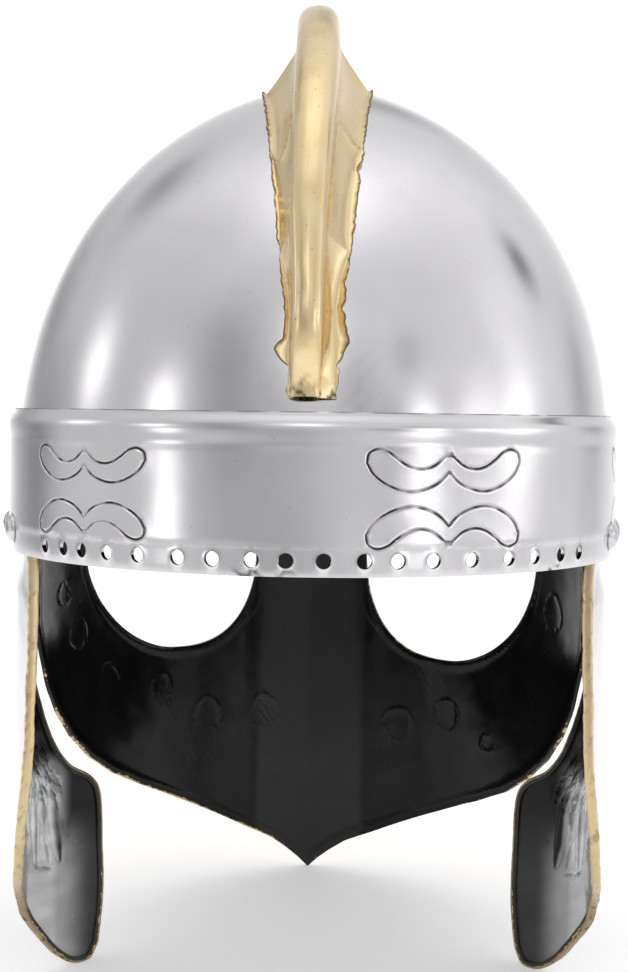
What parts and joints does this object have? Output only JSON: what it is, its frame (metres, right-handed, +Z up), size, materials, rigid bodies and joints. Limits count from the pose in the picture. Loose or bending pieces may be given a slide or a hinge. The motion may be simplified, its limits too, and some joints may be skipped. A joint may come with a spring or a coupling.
{
  "type": "masked crested helmet",
  "caption": "Wearable riveted steel helmet: smooth bowl, brass comb, engraved brow band pierced for mail, black-lined face mask with eye openings, brass-edged cheek plates.",
  "frame": {"origin": "centre of the bounding box, on the ground that the helmet stands on", "axes": "+Y is the way the wearer faces, +X the wearer's right, +Z up; the helmet leans forward about 7 degrees as it stands"},
  "size_m": [0.217, 0.2546, 0.3486],
  "materials": {
    "polished_steel": "hand-polished steel sheet, painted black on its inner face",
    "brass": "polished brass, lightly pitted and worn at its edges",
    "painted_brass": "brass sheet, gloss black paint inside, worn through at its edges, polished outside",
    "rivet_steel": "hammered and polished rivet heads"
  },
  "bodies": {
    "root": {"bowl": "polished_steel", "brow_band": "polished_steel", "crest": "brass", "face_mask": "painted_brass", "cheek_plate_left": "polished_steel", "cheek_plate_right": "polished_steel", "cheek_edging_left": "brass", "cheek_edging_right": "brass", "cheek_rivet_left_rear": "rivet_steel", "cheek_rivet_left_front": "rivet_steel", "cheek_rivet_right_rear": "rivet_steel", "cheek_rivet_right_front": "rivet_steel", "mask_rivet_middle": "rivet_steel", "mask_rivet_right_inner": "rivet_steel", "mask_rivet_right_outer": "rivet_steel", "mask_rivet_left_inner": "rivet_steel", "mask_rivet_left_outer": "rivet_steel"}
  },
  "joints": []
}
